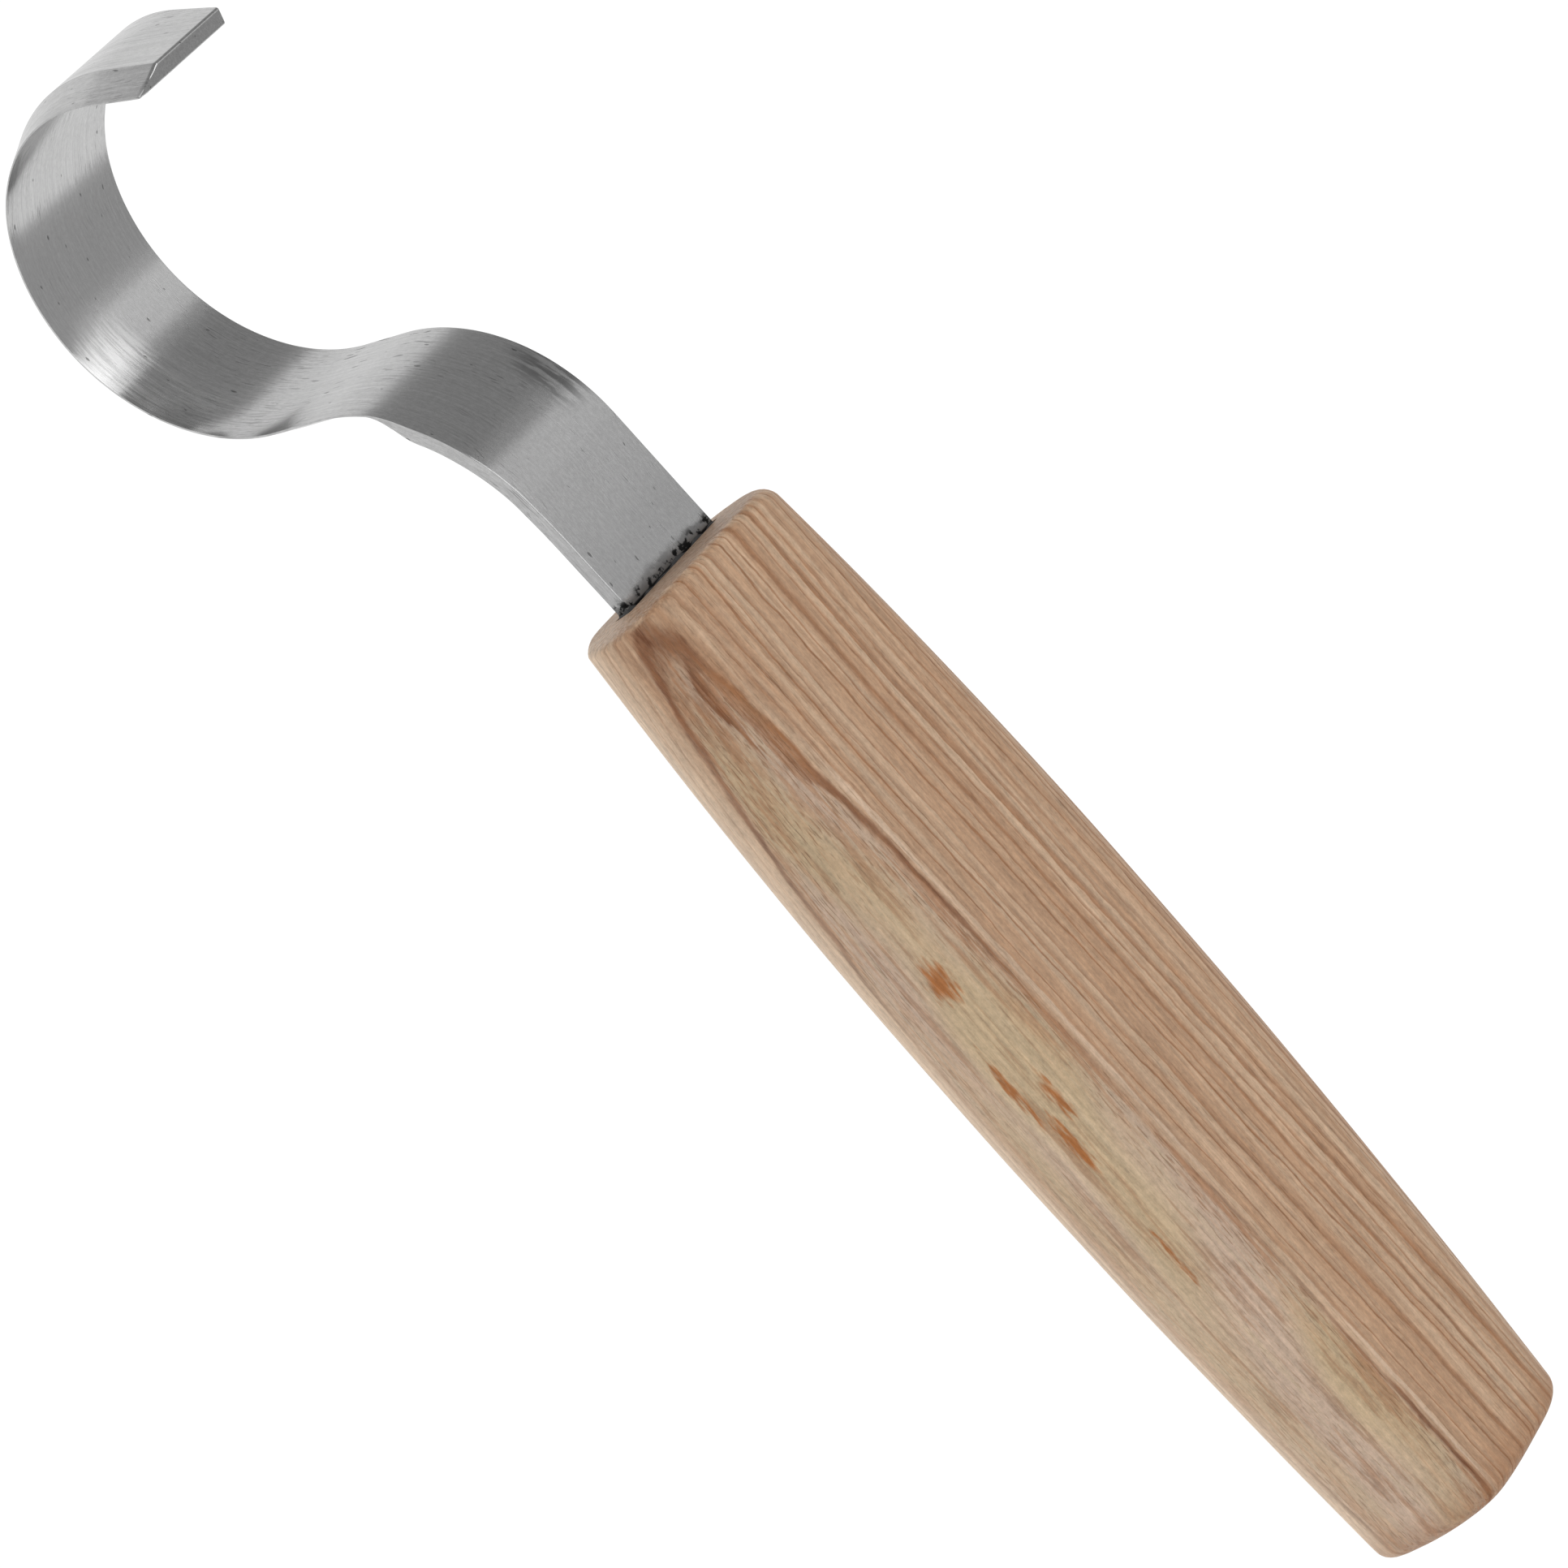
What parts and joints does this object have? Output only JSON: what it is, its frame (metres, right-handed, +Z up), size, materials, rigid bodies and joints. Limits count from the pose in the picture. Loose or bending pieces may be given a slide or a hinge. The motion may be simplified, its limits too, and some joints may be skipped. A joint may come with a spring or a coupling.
{
  "type": "hook knife",
  "caption": "Spoon-carving hook knife: a bent steel strip blade, sharpened along one side, glued into a barrel-shaped ash handle.",
  "frame": {"origin": "on the surface that the knife rests on, under the middle of its bounding box", "axes": "+Z up, +X from the butt of the handle towards the hook, +Y to the side of the cutting edge; the knife stands on the round back of the hook and the lower edge of the butt, so the handle's axis rises towards the hook by about 9 degrees"},
  "size_m": [0.18, 0.0296, 0.0346],
  "materials": {
    "steel": "brushed along the strip, fine scratches",
    "ash": "sanded ash, satin, unvarnished",
    "epoxy": "cured dark epoxy, dull"
  },
  "bodies": {
    "root": {"blade": "steel", "handle": "ash", "epoxy_bedding": "epoxy"}
  },
  "joints": []
}
